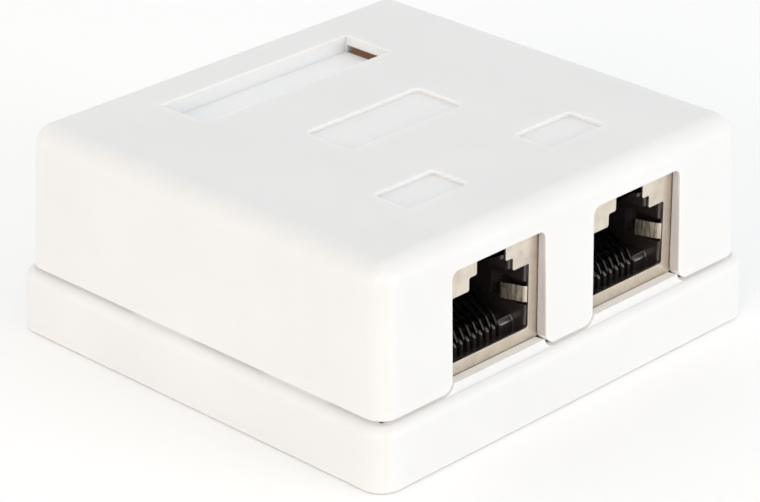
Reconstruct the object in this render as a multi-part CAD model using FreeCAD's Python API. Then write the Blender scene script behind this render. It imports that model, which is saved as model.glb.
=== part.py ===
"""Two-port screened surface mount jack box.

A white moulded base carries a circuit board with two screened eight-way jacks, four punch-down
terminal blocks and a steel screen plate with two cable saddles.  A moulded cover drops over it all.

Frame: origin on the mounting surface under the middle of the box, X along the port face,
-Y out of the port face, +Z up.  Millimetres and degrees.
"""
import FreeCAD, Part
import math
import os

# ---- base ---------------------------------------------------------------------------------
base_width = 60.0            # along the port face, at the mounting surface
base_depth = 57.0            # port face to back, at the mounting surface
rim_height = 7.5             # top of the base's rim
base_floor = 2.0
base_wall = 2.0
base_corner = 2.7            # upright corners
base_draft = 1.0             # lean of the outer walls
rim_radius = 1.2             # rounded outer edge of the rim

tongue_thickness = 1.1       # upstands that centre the cover
tongue_rise = 2.6            # above the rim
tongue_length = 9.0
tongue_lead = 0.4            # chamfer that leads the cover on
tongue_gap = 0.15            # to the inside of the cover
tongue_front = 11.0          # middle of the front pair behind the front edge of the board
tongue_rear = 5.0            # middle of the rear pair before its rear edge
tongue_pitch = 19.0          # between the three at the back
rest_pad = 1.0               # ledge beside each tongue that the cover stands on
pad_bite = 0.6               # how far the roots run into the wall

sill_rise = 1.25             # lip under each port, above the rim
sill_fall = 0.2              # slope of its top, from front to back
sill_gap = 0.1               # from its back to the face of the shields

# ---- cover --------------------------------------------------------------------------------
box_height = 24.8            # mounting surface to the top of the cover
cover_step = 1.0             # the cover stands this far inside the base
seam_gap = 0.4               # shadow line between rim and cover
cover_wall = 1.45
cover_top = 2.0
cover_draft = 1.8
cover_corner = 2.3           # upright corners
cover_edge_radius = 2.3      # edge between walls and top

port_pitch = 22.15           # between the middles of the two jacks
window_width = 14.45         # port window in the cover, at its top
window_flare = 0.1           # each side, from top to bottom
window_corner = 1.0
pillar_corner = 1.4          # rounded foot of the pillars beside the windows
window_over_board = 12.8     # top of the window above the circuit board

label_width = 29.4           # deep recess for a label lens
label_depth = 7.1
label_recess = 2.0
label_middle = 16.85         # from the middle of the box towards the back
label_floor = 1.5
label_slot_height = 0.8      # undercut that takes the lens's hook
label_slot_reach = 2.4
plate_width = 17.8           # shallow panel in the middle of the top
plate_depth = 7.0
plate_recess = 0.5
plate_corner = 0.8
pad_width = 9.1              # shallow panel above each port
pad_depth = 5.15
pad_recess = 0.5
pad_corner = 0.6
pad_middle = -15.85
knockout_width = 8.0         # thin panels broken out for a cable
knockout_height = 7.0
knockout_web = 0.6
knockout_pitch = 26.0
hold_rib = 1.2               # ribs that keep the jacks down
hold_gap = 0.2

# ---- circuit board and its fixing ---------------------------------------------------------
standoff = 4.9               # board above the floor
board_thickness = 1.6
board_side_gap = 0.7
board_front_gap = 0.35       # the board ends this far behind the face of the jacks
boss_diameter = 5.2
screw_diameter = 2.0
screw_hole = 2.5
pilot_gap = 0.05
screw_length = 5.6           # below the head
head_diameter = 4.2
head_height = 1.5
boss_inset = 3.0             # screw middle from the side edge of the board
peg_back = 5.3               # peg middle from the front edge of the board
peg_width = 2.0
peg_rise = 1.0               # above the board
peg_gap = 0.15
post_width = 4.4             # square posts under the board and under the plate
rear_screw_in = 2.7          # screw middle from the rear edge of the board
notch_width = 6.0            # front notch of the board, over the front fixing hole
notch_depth = 6.6            # to the middle of its round end

# ---- jacks --------------------------------------------------------------------------------
shield_width = 15.9
shield_height = 12.9
shield_depth = 16.5
shield_sheet = 0.3
shield_fold = 0.35           # flat across the folded edges
shield_gap = 0.1             # from the shield's face to the inside of the cover
opening_lift = 1.5           # lower edge of the opening above the board
opening_width = 11.9
opening_height = 7.5
step_width = 6.75
step_height = 1.5
latch_width = 4.45
latch_height = 1.9
leg_width = 1.6
board_pin_reach = 1.4        # legs and pins below the board

tab_height = 1.85            # spring tabs at the sides of the opening
tab_lift = 2.9               # above the lower edge of the opening
tab_sheet = 0.25
tab_reach = 2.9
tab_lean = 1.15
tab_tip = 0.8

insert_gap = 0.1             # between the moulded insert and the shield
insert_inset = 0.1           # its cavity is this much inside the shield's opening
cavity_depth = 11.8
pit_floor = 0.4
comb_back = 1.75             # face of the comb behind the face of the insert
comb_rise = 0.6              # comb above the lower edge of the opening
comb_edge = 0.35             # flat across the front edge of the comb
ways = 8
way_pitch = 1.02
slot_width = 0.54
pocket_depth = 1.0
pocket_margin = 0.45

wire_width = 0.36
wire_thickness = 0.3
wire_bend = 0.4
wire_turn_back = 2.15        # upright part, in the comb, behind the face of the insert
wire_shoulder = 0.1          # top of the upright part below the top of the comb
wire_knee_back = 2.7         # knee at the foot of the sloping leg
wire_knee_rise = 1.4         # knee above the lower edge of the opening
wire_slope = 27.5            # of the leg
wire_end_gap = 0.45          # free end past the back of the cavity
wire_end_room = 0.35         # room beyond the free ends
wire_row = 13.1              # first row of solder pins behind the face of the insert
wire_row_step = 1.4
pin_hole = 0.8               # square holes for the square pins

# ---- punch-down terminals -----------------------------------------------------------------
block_ways = 4
block_pitch = 3.55
block_depth = 6.0
block_height = 9.6
block_row_gap = 2.25         # from the back of the jacks to the first row
block_row_step = 7.2
block_slot = 1.1
block_slot_floor = 4.0
block_mouth = 1.0
blade_width = 2.6
blade_thickness = 0.4
blade_slit = 0.4
blade_top_gap = 0.8
blade_clearance = 0.08
blade_pin = 0.6

# ---- screen plate and cable saddles -------------------------------------------------------
plate_sheet = 0.6
plate_lap = 4.7              # over the rear edge of the board
plate_side_gap = 0.6
plate_row_gap = 0.1          # from the second row of terminals to the plate
arm_width = 14.6
arm_gap = 2.4                # from the end of the arms to the tongues at the back
arm_post_in = 2.0            # middle of the posts from the end of the arms
saddle_pitch = 26.0
saddle_radius = 3.2
saddle_rise = 2.4            # straight part under the arch
saddle_sheet = 0.8
saddle_width = 5.0
saddle_foot = 3.2            # outer foot, under a screw
hook_foot = 1.8              # inner foot, with a hook through the plate
hook_width = 3.0
hook_reach = 1.8             # below the top of the plate
hook_gap = 0.1
saddle_in = 5.0              # saddle middle from the end of the arm
saddle_screw = 1.9
saddle_hole = 2.1
saddle_head = 3.0
saddle_head_height = 1.2
saddle_screw_length = 3.2

# ---- fixing holes in the floor ------------------------------------------------------------
fixing_pitch = 46.8          # two holes at the back, and one between the jacks
fixing_hole = 4.2
fixing_back = 18.0
entry_width = 12.0           # cable hole through the floor
entry_depth = 9.5
entry_back = 17.8

# ---- levels and planes that follow from the sizes above -----------------------------------
cover_bottom = rim_height + seam_gap
cover_front = -(base_depth / 2 - cover_step)
cover_side = base_width / 2 - cover_step
inside_front = cover_front + cover_wall
inside_side = cover_side - cover_wall
ceiling = box_height - cover_top
tongue_side = inside_side - tongue_gap
tongue_back = -inside_front - tongue_gap

board_bottom = base_floor + standoff
board_top = board_bottom + board_thickness
face = inside_front + shield_gap             # front face of the shields
board_front = face + board_front_gap
row_first = face + shield_depth + block_row_gap + block_depth / 2
row_second = row_first + block_row_step
board_back = row_second + block_depth / 2 + plate_row_gap + plate_lap
board_side = tongue_side - tongue_thickness - board_side_gap
pin_bottom = board_bottom - board_pin_reach
port_places = (("left", -port_pitch / 2), ("right", port_pitch / 2))

opening_bottom = board_top + opening_lift
shield_top = board_top + shield_height
insert_front = face + shield_sheet
window_top = board_top + window_over_board
window_bottom_width = window_width + 2 * window_flare
plate_top = board_top + plate_sheet
arm_end = tongue_back - tongue_thickness - arm_gap
saddle_y = arm_end - saddle_in

front_fixing = board_front + notch_depth
screw_side = board_side - boss_inset
peg_front = board_front + peg_back
screw_back = board_back - rear_screw_in

OVER = 1.0                   # how far a cutting tool runs past the surface it cuts


# ---- shapes used by several pieces --------------------------------------------------------
def vec(x, y, z):
    return FreeCAD.Vector(x, y, z)


def block(x0, x1, y0, y1, z0, z1):
    """A box between two corners."""
    return Part.makeBox(x1 - x0, y1 - y0, z1 - z0, vec(x0, y0, z0))


def rod(diameter, x, y, z0, z1):
    """An upright cylinder."""
    return Part.makeCylinder(diameter / 2, z1 - z0, vec(x, y, z0))


def rounded_wire(half_x, half_y, z, radius, mid_x=0.0, mid_y=0.0):
    """A level rectangle with round corners, as one closed wire."""
    edges = []
    corners = ((1, 1, 0), (-1, 1, 90), (-1, -1, 180), (1, -1, 270))
    centres = [(mid_x + sx * (half_x - radius), mid_y + sy * (half_y - radius), turn)
               for sx, sy, turn in corners]

    def on_arc(centre, angle):
        turn = math.radians(angle)
        return vec(centre[0] + radius * math.cos(turn), centre[1] + radius * math.sin(turn), z)

    for index, centre in enumerate(centres):
        start = centre[2]
        following = centres[(index + 1) % 4]
        arc = Part.Arc(on_arc(centre, start), on_arc(centre, start + 45), on_arc(centre, start + 90))
        edges.append(arc.toShape())
        side = Part.makeLine(on_arc(centre, start + 90), on_arc(following, following[2]))
        edges.append(side)
    return Part.Wire(edges)


def rounded_block(half_x, half_y, z0, z1, radius, mid_x=0.0, mid_y=0.0):
    """An upright block with round corners."""
    face_below = Part.Face(rounded_wire(half_x, half_y, z0, radius, mid_x, mid_y))
    return face_below.extrude(vec(0, 0, z1 - z0))


def drafted_block(half_x, half_y, z0, z1, corner, draft):
    """A block whose flat walls lean inwards going up, with round upright corners."""
    lean = math.tan(math.radians(draft)) * (z1 - z0)
    signs = ((-1, -1), (1, -1), (1, 1), (-1, 1))
    low = [vec(sx * half_x, sy * half_y, z0) for sx, sy in signs]
    high = [vec(sx * (half_x - lean), sy * (half_y - lean), z1) for sx, sy in signs]
    faces = [Part.Face(Part.makePolygon(low[::-1] + [low[-1]])), Part.Face(Part.makePolygon(high + [high[0]]))]
    for index in range(4):
        after = (index + 1) % 4
        wall = [low[index], low[after], high[after], high[index], low[index]]
        faces.append(Part.Face(Part.makePolygon(wall)))
    solid = Part.Solid(Part.Shell(faces))
    uprights = [edge for edge in solid.Edges if edge.BoundBox.ZLength > (z1 - z0) / 2]
    return solid.makeFillet(corner, uprights)


def edges_at_height(solid, z):
    """The edges that lie wholly at one level."""
    level = []
    for edge in solid.Edges:
        box = edge.BoundBox
        if abs(box.ZMin - z) < 1e-4 and abs(box.ZMax - z) < 1e-4:
            level.append(edge)
    return level


def prism_xz(points, y0, y1):
    """A straight-sided outline in X and Z, carried from y0 to y1."""
    corners = [vec(x, y0, z) for x, z in points]
    outline = Part.makePolygon(corners + corners[:1])
    return Part.Face(outline).extrude(vec(0, y1 - y0, 0))


def prism_yz(points, x0, x1):
    """A straight-sided outline in Y and Z, carried from x0 to x1."""
    corners = [vec(x0, y, z) for y, z in points]
    outline = Part.makePolygon(corners + corners[:1])
    return Part.Face(outline).extrude(vec(x1 - x0, 0, 0))


def prism_xy(points, z0, z1):
    """A straight-sided outline in X and Y, carried from z0 to z1."""
    corners = [vec(x, y, z0) for x, y in points]
    outline = Part.makePolygon(corners + corners[:1])
    return Part.Face(outline).extrude(vec(0, 0, z1 - z0))


def polar(centre_x, centre_z, radius, angle):
    turn = math.radians(angle)
    return centre_x + radius * math.cos(turn), centre_z + radius * math.sin(turn)


def square_bar(width, x, y, z0, z1):
    """An upright square bar."""
    half = width / 2
    return block(x - half, x + half, y - half, y + half, z0, z1)


def pin_holes(places, low, high):
    return [square_bar(pin_hole, x, y, low, high) for x, y in places]


def cut_all(solid, tools):
    return solid.cut(Part.makeCompound(tools)) if tools else solid


def fuse_all(solids):
    return solids[0].multiFuse(solids[1:]).removeSplitter()


def save(name, shape):
    shape.exportStep("parts/" + name + ".step")


# ---- base ---------------------------------------------------------------------------------
def sill_outline(mid_x):
    """Lip under one port: its ends curve out under the rounded feet of the cover's pillars."""
    reach = pillar_corner + seam_gap + 0.05
    centre_z = cover_bottom + pillar_corner
    sill_top = rim_height + sill_rise
    edge = window_bottom_width / 2 + pillar_corner
    start = math.degrees(math.asin((centre_z - sill_top) / reach))
    edges = []
    ends = {}
    for side in (-1, 1):
        centre_x = mid_x + side * edge
        first = 180 + start
        arc_points = []
        for angle in (first, (first + 270) / 2, 270):
            across, up = polar(0, centre_z, reach, angle)
            arc_points.append(vec(centre_x + side * across, 0, up))
        edges.append(Part.Arc(*arc_points).toShape())
        ends[side] = (arc_points[0], arc_points[2])
    root = rim_height - base_wall / 2
    foot = {side: vec(ends[side][1].x, 0, root) for side in (-1, 1)}
    edges.append(Part.makeLine(ends[-1][0], ends[1][0]))
    edges.append(Part.makeLine(ends[1][1], foot[1]))
    edges.append(Part.makeLine(foot[1], foot[-1]))
    edges.append(Part.makeLine(foot[-1], ends[-1][1]))
    return Part.Wire(Part.__sortEdges__(edges))


def sill(mid_x):
    """Lip that fills the window's lower edge as deep as the jacks, with a top that slopes down to them."""
    back = face - sill_gap
    lip = Part.Face(sill_outline(mid_x)).extrude(vec(0, back - cover_front, 0))
    lip.translate(vec(0, cover_front, 0))
    top = rim_height + sill_rise
    reach = window_bottom_width / 2 + pillar_corner + OVER
    slope = [(cover_front, top), (back, top - sill_fall), (back + OVER, top - sill_fall), (back + OVER, top + OVER),
             (cover_front, top + OVER)]
    return lip.cut(prism_yz(slope, mid_x - reach, mid_x + reach))


def tongue_outline(outer, wall_inner):
    """Section of one upstand: a thick root in the tray, a pad the cover rests on, and the tongue itself."""
    inner = outer - tongue_thickness
    top = rim_height + tongue_rise
    return [(inner, base_floor / 2), (wall_inner + pad_bite, base_floor / 2), (wall_inner + pad_bite, rim_height - 1.0),
            (outer + rest_pad, rim_height - 1.0), (outer + rest_pad, cover_bottom), (outer, cover_bottom),
            (outer, top - tongue_lead), (outer - tongue_lead, top), (inner, top)]


def tongue_segments():
    """Short upstands inside the rim that centre the cover and carry its lower edge."""
    segments = []
    half = tongue_length / 2
    side_outline = tongue_outline(tongue_side, base_width / 2 - base_wall)
    back_outline = tongue_outline(tongue_back, base_depth / 2 - base_wall)
    for side in (-1, 1):
        for mid_y in (board_front + tongue_front, board_back - tongue_rear):
            points = [(side * x, z) for x, z in side_outline]
            segments.append(prism_xz(points, mid_y - half, mid_y + half))
    for mid_x in (-tongue_pitch, 0.0, tongue_pitch):
        segments.append(prism_yz(back_outline, mid_x - half, mid_x + half))
    return segments


def screw_places():
    """The two screws that hold the plate and the board down at the back."""
    return [(-screw_side, screw_back), (screw_side, screw_back)]


def peg_places():
    """The two pegs that hold the front of the board in place."""
    return [(-screw_side, peg_front), (screw_side, peg_front)]


def make_base():
    shell = drafted_block(base_width / 2, base_depth / 2, 0, rim_height, base_corner, base_draft)
    shell = shell.makeFillet(rim_radius, edges_at_height(shell, rim_height))
    half_x = base_width / 2 - base_wall
    half_y = base_depth / 2 - base_wall
    hollow = block(-half_x, half_x, -half_y, half_y, base_floor, rim_height + OVER)
    shell = shell.cut(hollow)

    root = base_floor / 2
    added = [rod(boss_diameter, x, y, root, board_bottom) for x, y in screw_places()]
    for x, y in peg_places():
        added.append(square_bar(post_width, x, y, root, board_bottom))
        added.append(square_bar(peg_width, x, y, board_bottom - OVER, board_top + peg_rise))
    for _, x in saddle_middles():
        added.append(square_bar(post_width, x, arm_end - arm_post_in, root, board_top))
    added += [sill(x) for _, x in port_places]
    added += tongue_segments()
    shell = fuse_all([shell] + added)

    cuts = []
    for x, y in screw_places():
        cuts.append(rod(screw_diameter + 2 * pilot_gap, x, y, base_floor, board_bottom + OVER))
    fixings = [(-fixing_pitch / 2, fixing_back), (fixing_pitch / 2, fixing_back), (0.0, front_fixing)]
    cuts += [rod(fixing_hole, x, y, -OVER, base_floor + OVER) for x, y in fixings]
    cuts.append(block(-entry_width / 2, entry_width / 2, entry_back - entry_depth / 2,
                      entry_back + entry_depth / 2, -OVER, base_floor + OVER))
    return cut_all(shell, cuts)


# ---- cover --------------------------------------------------------------------------------
def window_cutter(mid_x):
    """Port window: open at the bottom, where the pillars beside it have rounded feet."""
    top_half = window_width / 2
    low_half = window_bottom_width / 2
    low = cover_bottom
    edges = []
    for side in (-1, 1):
        outer = mid_x + side * (low_half + pillar_corner)
        centre_z = low + pillar_corner
        arc_points = []
        for angle in (270, 225, 180):
            across, up = polar(0, centre_z, pillar_corner, angle)
            arc_points.append(vec(outer + side * across, 0, up))
        edges.append(Part.makeLine(vec(outer, 0, low - OVER), arc_points[0]))
        edges.append(Part.Arc(*arc_points).toShape())
        round_x = mid_x + side * (top_half - window_corner)
        round_z = window_top - window_corner
        corner_points = []
        for angle in (0, 45, 90):
            across, up = polar(0, round_z, window_corner, angle)
            corner_points.append(vec(round_x + side * across, 0, up))
        edges.append(Part.makeLine(arc_points[2], corner_points[0]))
        edges.append(Part.Arc(*corner_points).toShape())
    edges.append(Part.makeLine(vec(mid_x - top_half + window_corner, 0, window_top),
                               vec(mid_x + top_half - window_corner, 0, window_top)))
    edges.append(Part.makeLine(vec(mid_x - low_half - pillar_corner, 0, low - OVER),
                               vec(mid_x + low_half + pillar_corner, 0, low - OVER)))
    cutter = Part.Face(Part.Wire(Part.__sortEdges__(edges))).extrude(vec(0, cover_wall + 2 * OVER, 0))
    cutter.translate(vec(0, cover_front - OVER, 0))
    return cutter


def panel_recess(mid_x, mid_y, width, depth, recess, corner):
    return rounded_block(width / 2, depth / 2, box_height - recess, box_height + OVER, corner, mid_x, mid_y)


def knockout_pocket(mid_x):
    """Thinned panel in the back wall: square below, narrower above, cut from the inside."""
    back = -inside_front
    deep = cover_wall - knockout_web
    half = knockout_width / 2
    top = cover_bottom + knockout_height
    outline = [(mid_x - half, cover_bottom - OVER), (mid_x + half, cover_bottom - OVER), (mid_x + half, top - half / 2),
               (mid_x + half / 2, top), (mid_x - half / 2, top), (mid_x - half, top - half / 2)]
    return prism_xz(outline, back - OVER, back + deep)


def make_cover():
    half_x = cover_side
    half_y = -cover_front
    shell = drafted_block(half_x, half_y, cover_bottom, box_height, cover_corner, cover_draft)
    shell = shell.makeFillet(cover_edge_radius, edges_at_height(shell, box_height))
    hollow = block(-inside_side, inside_side, inside_front, -inside_front, cover_bottom - OVER, ceiling)
    shell = shell.cut(hollow)

    label_low = box_height - label_recess - label_floor
    lens_half = label_width / 2
    well = block(-lens_half - label_floor, lens_half + label_floor / 2, label_middle - label_depth / 2 - label_floor,
                 label_middle + label_depth / 2 + label_floor, label_low, ceiling + cover_top / 2)
    ribs = []
    for _, x in port_places:
        ribs.append(block(x - hold_rib / 2, x + hold_rib / 2, face + 2.0, face + shield_depth - 2.0,
                          shield_top + hold_gap, ceiling + cover_top / 2))
    shell = fuse_all([shell, well] + ribs)

    cuts = [window_cutter(x) for _, x in port_places]
    cuts.append(block(-lens_half, lens_half, label_middle - label_depth / 2, label_middle + label_depth / 2,
                      box_height - label_recess, box_height + OVER))
    slot_inset = 0.1
    cuts.append(block(lens_half - OVER / 2, lens_half + label_slot_reach,
                      label_middle - label_depth / 2 + slot_inset, label_middle + label_depth / 2 - slot_inset,
                      box_height - label_recess, box_height - label_recess + label_slot_height))
    cuts.append(block(lens_half, lens_half + label_slot_reach,
                      label_middle - label_depth / 2 + slot_inset, label_middle + label_depth / 2 - slot_inset,
                      label_low - OVER, box_height - label_recess + label_slot_height / 2))
    cuts.append(panel_recess(0, 0, plate_width, plate_depth, plate_recess, plate_corner))
    for _, x in port_places:
        cuts.append(panel_recess(x, pad_middle, pad_width, pad_depth, pad_recess, pad_corner))
    for side in (-1, 1):
        cuts.append(knockout_pocket(side * knockout_pitch / 2))
    return cut_all(shell, cuts)


# ---- circuit board ------------------------------------------------------------------------
def wire_places(mid_x):
    """Across-position and pin position of each contact wire of one jack."""
    places = []
    for way in range(ways):
        x = mid_x + (way - (ways - 1) / 2) * way_pitch
        pin_y = insert_front + wire_row + (way % 2) * wire_row_step
        places.append((x, pin_y))
    return places


def leg_places(mid_x):
    """The shield's two soldered legs, one in each side wall."""
    y = face + shield_depth * 0.6
    return [(mid_x + side * (shield_width - shield_sheet) / 2, y) for side in (-1, 1)]


def block_places():
    """Name and middle of each punch-down terminal block."""
    places = []
    for name, x in port_places:
        for row_name, y in (("front", row_first), ("rear", row_second)):
            places.append((name + "_" + row_name, x, y))
    return places


def blade_places(mid_x):
    return [mid_x + (way - (block_ways - 1) / 2) * block_pitch for way in range(block_ways)]


def make_circuit_board():
    board = block(-board_side, board_side, board_front, board_back, board_bottom, board_top)
    low = board_bottom - OVER
    high = board_top + OVER
    cuts = [rod(screw_hole, x, y, low, high) for x, y in screw_places()]
    cuts += [square_bar(peg_width + 2 * peg_gap, x, y, low, high) for x, y in peg_places()]
    cuts.append(block(-notch_width / 2, notch_width / 2, board_front - OVER, front_fixing, low, high))
    cuts.append(rod(notch_width, 0, front_fixing, low, high))
    for _, mid_x in port_places:
        cuts += pin_holes(wire_places(mid_x), low, high)
        for x, y in leg_places(mid_x):
            cuts.append(block(x - shield_sheet, x + shield_sheet, y - leg_width / 2 - 0.2,
                              y + leg_width / 2 + 0.2, low, high))
    for _, mid_x, y in block_places():
        cuts += pin_holes([(x, y) for x in blade_places(mid_x)], low, high)
    return cut_all(board, cuts)


# ---- screws -------------------------------------------------------------------------------
def plain_screw(x, y, seat, shank, length, head, height):
    """Screw with a plain round head that sits on the level called seat."""
    return rod(head, x, y, seat, seat + height).fuse(rod(shank, x, y, seat - length, seat)).removeSplitter()


def make_board_screws():
    return Part.makeCompound([plain_screw(x, y, plate_top, screw_diameter, screw_length, head_diameter, head_height)
                              for x, y in screw_places()])


# ---- jacks --------------------------------------------------------------------------------
def opening_outline(mid_x, inset, floor):
    """Stepped opening of a jack: a wide plug bay with a narrower latch bay above it."""
    levels = [floor, opening_bottom + opening_height - inset,
              opening_bottom + opening_height + step_height - inset,
              opening_bottom + opening_height + step_height + latch_height - inset]
    halves = [opening_width / 2 - inset, step_width / 2 - inset, latch_width / 2 - inset]
    right = []
    for half, low, high in zip(halves, levels[:-1], levels[1:]):
        right += [(half, low), (half, high)]
    left = [(-x, z) for x, z in reversed(right)]
    return [(mid_x + x, z) for x, z in right + left]


def spring_tab(mid_x, side):
    """Tab folded in from the edge of the opening, leaning into the bay, with a turned-back round tip."""
    edge = opening_width / 2
    root = face + 0.05
    line = [(edge + 0.1, root), (edge - 0.3, root + 0.45), (edge - tab_lean, root + tab_reach),
            (edge - tab_lean + 0.2, root + tab_reach + tab_tip)]
    inner = [(mid_x + side * x, y) for x, y in line]
    outer = [(mid_x + side * (x + tab_sheet), y) for x, y in reversed(line)]
    low = opening_bottom + tab_lift
    strip = prism_xy(inner + outer, low, low + tab_height)
    tip = root + tab_reach + tab_tip
    corner = tab_height * 0.3
    reach_x0 = min(x for x, _ in inner + outer) - OVER
    reach_x1 = max(x for x, _ in inner + outer) + OVER
    end = [(root - OVER, low), (tip - corner, low), (tip, low + corner), (tip, low + tab_height - corner),
           (tip - corner, low + tab_height), (root - OVER, low + tab_height)]
    return strip.common(prism_yz(end, reach_x0, reach_x1))


def make_jack_shield(mid_x):
    """Folded sheet can: face with the stepped opening, top, sides and back, open below."""
    half = shield_width / 2
    rear = face + shield_depth
    can = block(mid_x - half, mid_x + half, face, rear, board_top, shield_top)
    folds = []
    for edge in can.Edges:
        box = edge.BoundBox
        upright = box.ZLength > 1 and box.XLength < 1e-4 and box.YLength < 1e-4
        on_top = abs(box.ZMin - shield_top) < 1e-4
        if upright or on_top:
            folds.append(edge)
    can = can.makeChamfer(shield_fold, folds)
    room = block(mid_x - half + shield_sheet, mid_x + half - shield_sheet, face + shield_sheet,
                 rear - shield_sheet, board_top - OVER, shield_top - shield_sheet)
    can = can.cut(room)
    can = can.cut(prism_xz(opening_outline(mid_x, 0, opening_bottom), face - OVER, face + shield_sheet + OVER / 2))
    extras = [spring_tab(mid_x, side) for side in (-1, 1)]
    for x, y in leg_places(mid_x):
        extras.append(block(x - shield_sheet / 2, x + shield_sheet / 2, y - leg_width / 2, y + leg_width / 2,
                            pin_bottom, board_top + OVER))
    return fuse_all([can] + extras)


def wire_end_level():
    """Level of the free ends of the contact wires."""
    run = cavity_depth + wire_end_gap - wire_knee_back
    return opening_bottom + wire_knee_rise + run * math.tan(math.radians(wire_slope))


def make_jack_insert(mid_x):
    """Moulded insert: plug bay, pit in front of the comb, wire slots, and pockets behind the tabs."""
    half = shield_width / 2 - shield_sheet - insert_gap
    rear = face + shield_depth - shield_sheet - insert_gap
    top = shield_top - shield_sheet - insert_gap
    body = block(mid_x - half, mid_x + half, insert_front, rear, board_top, top)
    bay_half = opening_width / 2 - insert_inset
    comb_front = insert_front + comb_back
    bay_end = insert_front + cavity_depth
    comb_top = opening_bottom + comb_rise
    bay = prism_xz(opening_outline(mid_x, insert_inset, comb_top), insert_front - OVER, bay_end)
    pit = block(mid_x - bay_half, mid_x + bay_half, insert_front - OVER, comb_front,
                board_top + pit_floor, comb_top + OVER)
    body = body.cut(bay.fuse(pit))
    lip = [edge for edge in body.Edges
           if abs(edge.BoundBox.YMin - comb_front) < 1e-4 and abs(edge.BoundBox.YMax - comb_front) < 1e-4
           and abs(edge.BoundBox.ZMin - comb_top) < 1e-4 and edge.BoundBox.ZLength < 1e-4]
    body = body.makeChamfer(comb_edge, lip)

    cuts = []
    end_level = wire_end_level() + wire_end_room
    for x, pin_y in wire_places(mid_x):
        slot_half = slot_width / 2
        cuts.append(block(x - slot_half, x + slot_half, comb_front - OVER, bay_end,
                          board_top + pit_floor, comb_top + OVER))
        cuts.append(block(x - slot_half, x + slot_half, bay_end - OVER, pin_y + 0.6,
                          board_top - OVER, board_top + 1.05))
        cuts.append(block(x - slot_half, x + slot_half, bay_end - OVER, bay_end + wire_end_gap + wire_end_room,
                          comb_top, end_level))
    low = opening_bottom + tab_lift - pocket_margin
    high = low + tab_height + 2 * pocket_margin
    for side in (-1, 1):
        x0 = mid_x + side * (bay_half - OVER)
        x1 = mid_x + side * (bay_half + pocket_depth)
        cuts.append(block(min(x0, x1), max(x0, x1), insert_front - OVER,
                          insert_front + tab_reach + tab_tip + 1.2, low, high))
    return cut_all(body, cuts)


def offset_path(path, reach):
    """The points of a path moved sideways by reach, mitred at its bends."""
    moved = []
    for index, point in enumerate(path):
        normals = []
        for first, second in ((index - 1, index), (index, index + 1)):
            if first < 0 or second >= len(path):
                continue
            along = (path[second][0] - path[first][0], path[second][1] - path[first][1])
            length = math.hypot(*along)
            normals.append((-along[1] / length, along[0] / length))
        mitre = (sum(n[0] for n in normals), sum(n[1] for n in normals))
        scale = len(normals) / (mitre[0] ** 2 + mitre[1] ** 2)
        moved.append((point[0] + mitre[0] * reach * scale, point[1] + mitre[1] * reach * scale))
    return moved


def bent_wire(x, pin_y):
    """One contact: a pin through the board, a run forward under the bay, a turn up through the comb
    and a spring leg that slopes back across the bay."""
    run_z = board_top + 0.6
    turn_y = insert_front + wire_turn_back
    bend = wire_bend
    knee = (insert_front + wire_knee_back, opening_bottom + wire_knee_rise)
    end = (insert_front + cavity_depth + wire_end_gap, wire_end_level())
    path = [(pin_y, pin_bottom), (pin_y, run_z - bend), (pin_y - bend, run_z), (turn_y + bend, run_z),
            (turn_y, run_z + bend), (turn_y, opening_bottom + comb_rise - wire_shoulder), knee, end]
    half = wire_thickness / 2
    outline = offset_path(path, half) + offset_path(path, -half)[::-1]
    return prism_yz(outline, x - wire_width / 2, x + wire_width / 2)


def make_jack_contacts(mid_x):
    return Part.makeCompound([bent_wire(x, pin_y) for x, pin_y in wire_places(mid_x)])


# ---- punch-down terminals -----------------------------------------------------------------
def make_terminal_block(mid_x, mid_y):
    """Row of towers; a wire is punched down between two towers onto the blade in the slot."""
    half_x = block_ways * block_pitch / 2
    half_y = block_depth / 2
    top = board_top + block_height
    body = block(mid_x - half_x, mid_x + half_x, mid_y - half_y, mid_y + half_y, board_top, top)
    slot_low = board_top + block_slot_floor
    cuts = []
    for x in blade_places(mid_x):
        s = block_slot / 2
        m = block_slot / 2 + block_mouth / 2
        cuts.append(prism_xz([(x - s, slot_low), (x + s, slot_low), (x + s, top - block_mouth),
                              (x + m, top + 0.01), (x - m, top + 0.01), (x - s, top - block_mouth)],
                             mid_y - half_y - OVER, mid_y + half_y + OVER))
        w = blade_width / 2 + blade_clearance
        t = blade_thickness / 2 + blade_clearance
        cuts.append(block(x - w, x + w, mid_y - t, mid_y + t, board_top - OVER, top - blade_top_gap + 0.1))
    waist = half_y * 0.45
    for side in (-1, 1):
        y0 = mid_y + side * half_y
        y1 = mid_y + side * (half_y - waist)
        cuts.append(prism_yz([(y0 + side * 0.01, top + 0.01), (y1, top + 0.01), (y0 + side * 0.01, top - 2.2)],
                             mid_x - half_x - OVER, mid_x + half_x + OVER))
    return cut_all(body, cuts)


def make_terminal_contacts(mid_x, mid_y):
    """Slotted blades, each with a soldered pin."""
    blades = []
    low = board_top + 0.1
    high = board_top + block_height - blade_top_gap
    for x in blade_places(mid_x):
        w = blade_width / 2
        s = blade_slit / 2
        p = blade_pin / 2
        slit_low = board_top + block_slot_floor
        outline = [(x - p, pin_bottom), (x + p, pin_bottom), (x + p, low), (x + w, low), (x + w, high - 0.4),
                   (x + w - 0.4, high), (x + s + 0.35, high), (x + s, high - 0.8), (x + s, slit_low),
                   (x - s, slit_low), (x - s, high - 0.8), (x - s - 0.35, high), (x - w + 0.4, high),
                   (x - w, high - 0.4), (x - w, low), (x - p, low)]
        blades.append(prism_xz(outline, mid_y - blade_thickness / 2, mid_y + blade_thickness / 2))
    return Part.makeCompound(blades)


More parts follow.
